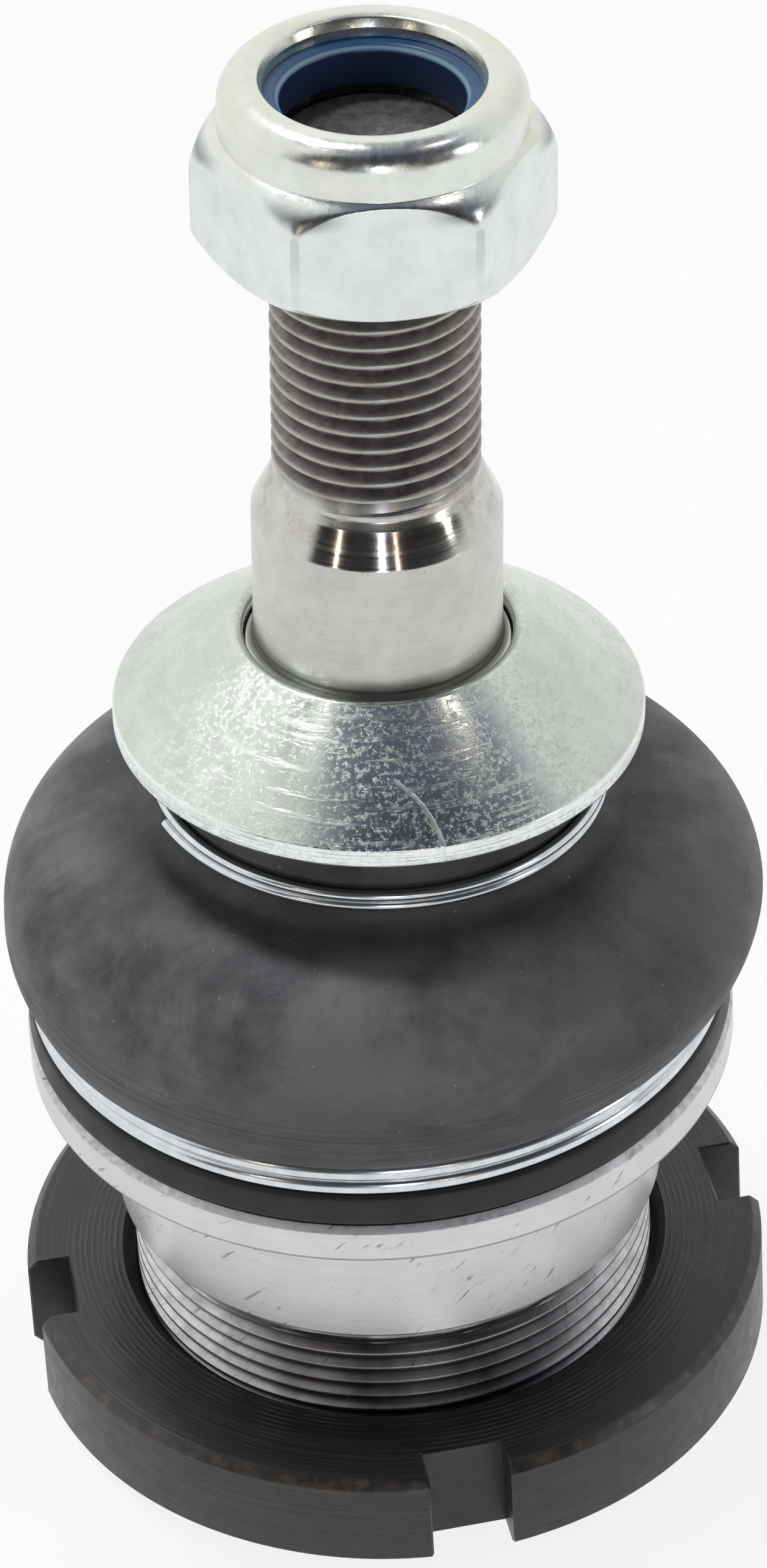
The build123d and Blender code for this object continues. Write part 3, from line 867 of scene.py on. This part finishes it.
def paint_insert():
    """Blue nylon, with painted shade in the bore and a painted highlight along its inner edge."""
    s = Surface("blue_nylon", 0.32, 0.0, leaning=True)
    base = s.two_colours(s.noise(0.8, 4), 0.3, 0.7, "#2b5680", "#234a74")
    # painted shade: the bore is painted darker
    base = s.over(base, s.between(s.radius, 7.0, 6.93), "#203458")
    # painted highlight: a pale line along the inner edge
    edge = s.times(s.between(s.radius, 7.3, 7.12), s.between(s.radius, 6.9, 6.96))
    edge = s.times(edge, s.between(s.z, 86.7, 86.95))
    base = s.over(base, s.times(edge, 0.75), "#9cc3cf")
    s.finish(base, s.bump(s.noise(2.0, 4), 0.03, 0.4))
    s.on(insert)


def paint_wire(piece, name, leaning):
    s = Surface(name, 0.22, 1.0, leaning=leaning)
    base = s.two_colours(s.noise(0.8, 4), 0.3, 0.7, "#e2e6e8", "#cdd2d6")
    s.finish(base, s.bump(s.noise(2.5, 3, 0.6, s.round_point(1.0, 1.0, 12.0)), 0.01, 0.3))
    s.on(piece)


def paint_boot():
    """Rubber, dusty on its shoulders, with a painted shadow of the cone round the collar, painted shade on
    its right side and on the lip under the wire ring, and faint mould lines low down.
    """
    s = Surface("boot_rubber", 0.5, 0.0)
    above_foot = s.between(s.z, 37.8, 38.6)
    cloud = s.noise(0.085, 6, 0.62)
    dust_and_side_shade = s.times(s.between(cloud, 0.37, 0.58, 0.1, 1.2), s.between(s.z, 43.5, 49.0, 0.2, 1.0))
    wisps = s.noise(0.5, 6, 0.7, s.round_point(0.35, 0.6, 6.0), 0.6)
    dust_and_side_shade = s.plus(dust_and_side_shade, s.times(s.between(wisps, 0.5, 0.64), s.between(s.z, 41.0, 46.0, 0.15, 0.45)))
    # painted shade: less dust towards +X, so the right side is painted darker
    dust_and_side_shade = s.times(dust_and_side_shade, s.between(s.x, 6.0, 24.0, 1.0, 0.5))
    base = s.over(linear("#282c30"), s.times(dust_and_side_shade, 0.75), "#6c6d6c")
    base = s.over(base, s.times(s.between(s.noise(1.6, 5, 0.65), 0.5, 0.7), 0.25), "#5a5b5a")
    streaks = s.between(s.noise(1.0, 4, 0.65, s.round_point(0.8, 1.6, 3.0)), 0.52, 0.7)
    base = s.over(base, s.times(streaks, s.between(s.z, 47.5, 43.5, 0.0, 0.6), above_foot), "#5d636a")
    # painted shadow of the cone: the boot is painted dark round its collar
    painted_cone_shadow = s.times(s.between(s.radius, 24.0, 18.5), s.between(s.z, 48.0, 50.0))
    base = s.over(base, s.times(painted_cone_shadow, 0.65), "#14181c")
    base = s.over(base, s.times(s.between(s.spots(0.55), 0.05, 0.035), 0.6), "#a8a9a6")
    # painted shade: the lip under the wire ring is painted near black
    base = s.over(base, s.between(s.z, 37.6, 37.3), "#0c1115")
    lines = s.between(s.noise(1.0, 2, 0.5, s.round_point(0.0, 2.2, 0.15)), 0.45, 0.62)
    lines = s.times(lines, s.between(s.z, 46.5, 44.5), above_foot)
    normal = s.bump(lines, 0.12, 0.6, s.bump(s.noise(2.6, 5, 0.68), 0.06, 0.5))
    s.finish(base, normal, s.between(s.noise(0.3, 5, 0.6), 0.3, 0.7, 0.42, 0.58))
    s.on(boot)


def paint_inside():
    """Bearing shells, spring and cover plate, which are the solids themselves."""
    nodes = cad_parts
    s = Surface("bearing_plastic", 0.45)
    base = s.two_colours(s.noise(0.3, 4), 0.3, 0.7, "#d8d2c2", "#c9c2b0")
    s.finish(base, s.bump(s.noise(3.0, 3), 0.02, 0.4))
    s.on(nodes["ball_seat"], nodes["lower_seat"])
    s = Surface("spring_steel", 0.35, 1.0)
    base = s.two_colours(s.noise(0.4, 4), 0.3, 0.7, "#6e7076", "#55575c")
    s.finish(base, s.bump(s.noise(1.0, 3, 0.6, s.round_point(7.0, 7.0, 0.6)), 0.02, 0.5))
    s.on(nodes["preload_spring"])
    s = Surface("plain_steel", 0.35, 1.0)
    base = s.two_colours(s.noise(0.25, 5, 0.65), 0.3, 0.7, "#a9abab", "#8c8d8c")
    marks = s.noise(1.0, 3, 0.6, s.round_point(6.0, 6.0, 0.6))
    s.finish(base, s.bump(marks, 0.02, 0.5), s.between(s.noise(1.2, 5), 0.3, 0.7, 0.28, 0.45))
    s.on(nodes["cover_plate"])


paint_ring_nut()
paint_housing()
paint_ball_stud()
paint_cone()
paint_lock_nut()
paint_insert()
paint_wire(lower_ring, "bright_wire_lower", False)
paint_wire(upper_ring, "bright_wire_upper", True)
paint_boot()
paint_inside()


# ---- floor ----------------------------------------------------------------------------------------
def make_floor():
    """Pale floor that keeps the shadow; the camera and the metal see it nearly white."""
    bpy.ops.mesh.primitive_plane_add(size=6, location=(0, 0, 0))
    floor = bpy.context.object
    floor.name = "floor"
    s = Surface("pale_floor", 0.8)
    s.finish(s.blend(s.between(s.noise(0.002, 2), 0.3, 0.7), (0.9, 0.9, 0.9, 1), (0.94, 0.94, 0.94, 1)))
    rays = s.add("ShaderNodeLightPath").outputs
    seen = s.math("MAXIMUM", rays["Is Glossy Ray"], rays["Is Transmission Ray"])
    seen = s.math("MAXIMUM", rays["Is Camera Ray"], seen)
    white = s.add("ShaderNodeEmission")
    mixed = s.add("ShaderNodeMixShader")
    s.link(s.times(seen, 0.85), mixed.inputs[0])
    s.link(s.shader.outputs[0], mixed.inputs[1])
    s.link(white.outputs[0], mixed.inputs[2])
    s.link(mixed.outputs[0], s.tree.nodes["Material Output"].inputs["Surface"])
    s.on(floor)


# ---- light ----------------------------------------------------------------------------------------
class Studio:
    """The world: an even white room with dark zones that the polished metal mirrors."""

    def __init__(self):
        world = bpy.data.worlds.new("studio")
        bpy.context.scene.world = world
        world.use_nodes = True
        self.tree = world.node_tree
        self.background = self.tree.nodes["Background"]
        self.direction = self.tree.nodes.new("ShaderNodeTexCoord").outputs["Generated"]
        split = self.tree.nodes.new("ShaderNodeSeparateXYZ")
        self.tree.links.new(self.direction, split.inputs[0])
        self.x, _, self.z = split.outputs

    def smooth(self, value, low, high, first, last):
        node = self.tree.nodes.new("ShaderNodeMapRange")
        node.interpolation_type = "SMOOTHSTEP"
        self.tree.links.new(value, node.inputs["Value"])
        for key, number in (("From Min", low), ("From Max", high), ("To Min", first), ("To Max", last)):
            node.inputs[key].default_value = number
        return node.outputs["Result"]

    def math(self, operation, a, b):
        node = self.tree.nodes.new("ShaderNodeMath")
        node.operation = operation
        for socket, value in zip(node.inputs, (a, b)):
            if isinstance(value, (int, float)):
                socket.default_value = value
            else:
                self.tree.links.new(value, socket)
        return node.outputs[0]

    def towards(self, way):
        """How far a ray points along a direction."""
        node = self.tree.nodes.new("ShaderNodeVectorMath")
        node.operation = "DOT_PRODUCT"
        self.tree.links.new(self.direction, node.inputs[0])
        node.inputs[1].default_value = way
        return node.outputs["Value"]

    def build(self):
        above = self.smooth(self.towards(Vector((0.30, -0.22, 0.93)).normalized()), 0.79, 0.93, 0.0, 1.0)
        overhead = self.smooth(self.towards(Vector((0.0, 0.15, 0.99)).normalized()), 0.84, 0.90, 0.0, 0.8)
        front = self.smooth(self.towards((0.2, -0.98, 0.0)), 0.2, 0.36, 0.0, 1.0)
        high = self.smooth(self.z, 0.0, 0.12, 0.0, 1.0)
        front = self.math("MULTIPLY", self.math("MULTIPLY", front, high), 0.96)
        top = self.math("MAXIMUM", overhead, self.math("MULTIPLY", above, 0.85))
        dark = self.math("MAXIMUM", front, top)
        shade = self.smooth(self.x, 0.2, 0.85, 1.0, 0.84)
        level = self.math("MULTIPLY", self.math("SUBTRACT", 1.0, dark), shade)
        tint = self.tree.nodes.new("ShaderNodeMix")
        tint.data_type = "RGBA"
        self.tree.links.new(above, tint.inputs[0])
        tint.inputs[6].default_value = (1, 1, 1, 1)
        tint.inputs[7].default_value = (0.76, 0.87, 1.35, 1)
        self.tree.links.new(tint.outputs[2], self.background.inputs["Color"])
        self.tree.links.new(level, self.background.inputs["Strength"])


AIM = Vector((0, 0, 0.06))           # metres; all lamps look at the joint's middle


def lamp(name, place, size, size_y, power, colour=(1, 1, 1)):
    """Area lamp of a width, height and power, with its place in metres."""
    data = bpy.data.lights.new(name, "AREA")
    data.shape = "RECTANGLE"
    data.size, data.size_y, data.energy, data.color = size, size_y, power, colour
    light = bpy.data.objects.new(name, data)
    bpy.context.scene.collection.objects.link(light)
    light.location = place
    light.visible_camera = False
    light.rotation_euler = (AIM - Vector(place)).to_track_quat("-Z", "Y").to_euler()


def make_lamps():
    """Soft key from the back left, two small lamps, and low strips that the pin's chamfer mirrors."""
    lamp("key", (-0.26, 0.33, 1.08), 0.15, 0.15, 4.2, (0.94, 0.96, 1.0))
    lamp("left_lamp", (-0.36, -0.09, 1.1), 0.07, 0.07, 0.1, (1.0, 0.97, 0.88))
    lamp("right_lamp", (0.52, 0.03, 1.05), 0.05, 0.05, 0.4, (1.0, 0.9, 0.8))
    lamp("low_strip_left", (-0.62, -0.80, 0.45), 0.014, 0.35, 0.35, (1.0, 0.85, 0.7))
    lamp("low_strip_middle", (0.06, -1.05, 0.38), 0.05, 0.35, 1.0, (0.85, 0.9, 1.0))
    lamp("low_strip_beside", (0.30, -1.0, 0.38), 0.015, 0.35, 0.25, (1.0, 0.8, 0.65))
    lamp("low_strip_right", (0.98, -0.36, 0.42), 0.10, 0.35, 1.3)


# ---- camera ---------------------------------------------------------------------------------------
def make_camera():
    """Camera with its right, up and forward directions and its place in metres."""
    right = (0.99825701, -0.03868666, -0.04456774)
    up = (0.05898105, 0.62783435, 0.77610905)
    forward = (0.00204391, 0.77738496, -0.62902182)
    place = (0.0, -0.478382, 0.442685)
    data = bpy.data.cameras.new("camera")
    data.lens, data.sensor_width, data.sensor_height = 181.05, 36.0, 36.0
    data.clip_start, data.clip_end = 0.01, 50
    camera = bpy.data.objects.new("camera", data)
    bpy.context.scene.collection.objects.link(camera)
    rows = [(right[i], up[i], -forward[i], place[i]) for i in range(3)]
    camera.matrix_world = Matrix((*rows, (0, 0, 0, 1)))
    bpy.context.scene.camera = camera


make_floor()
Studio().build()
make_lamps()
make_camera()
bpy.context.scene.view_settings.view_transform = "Standard"
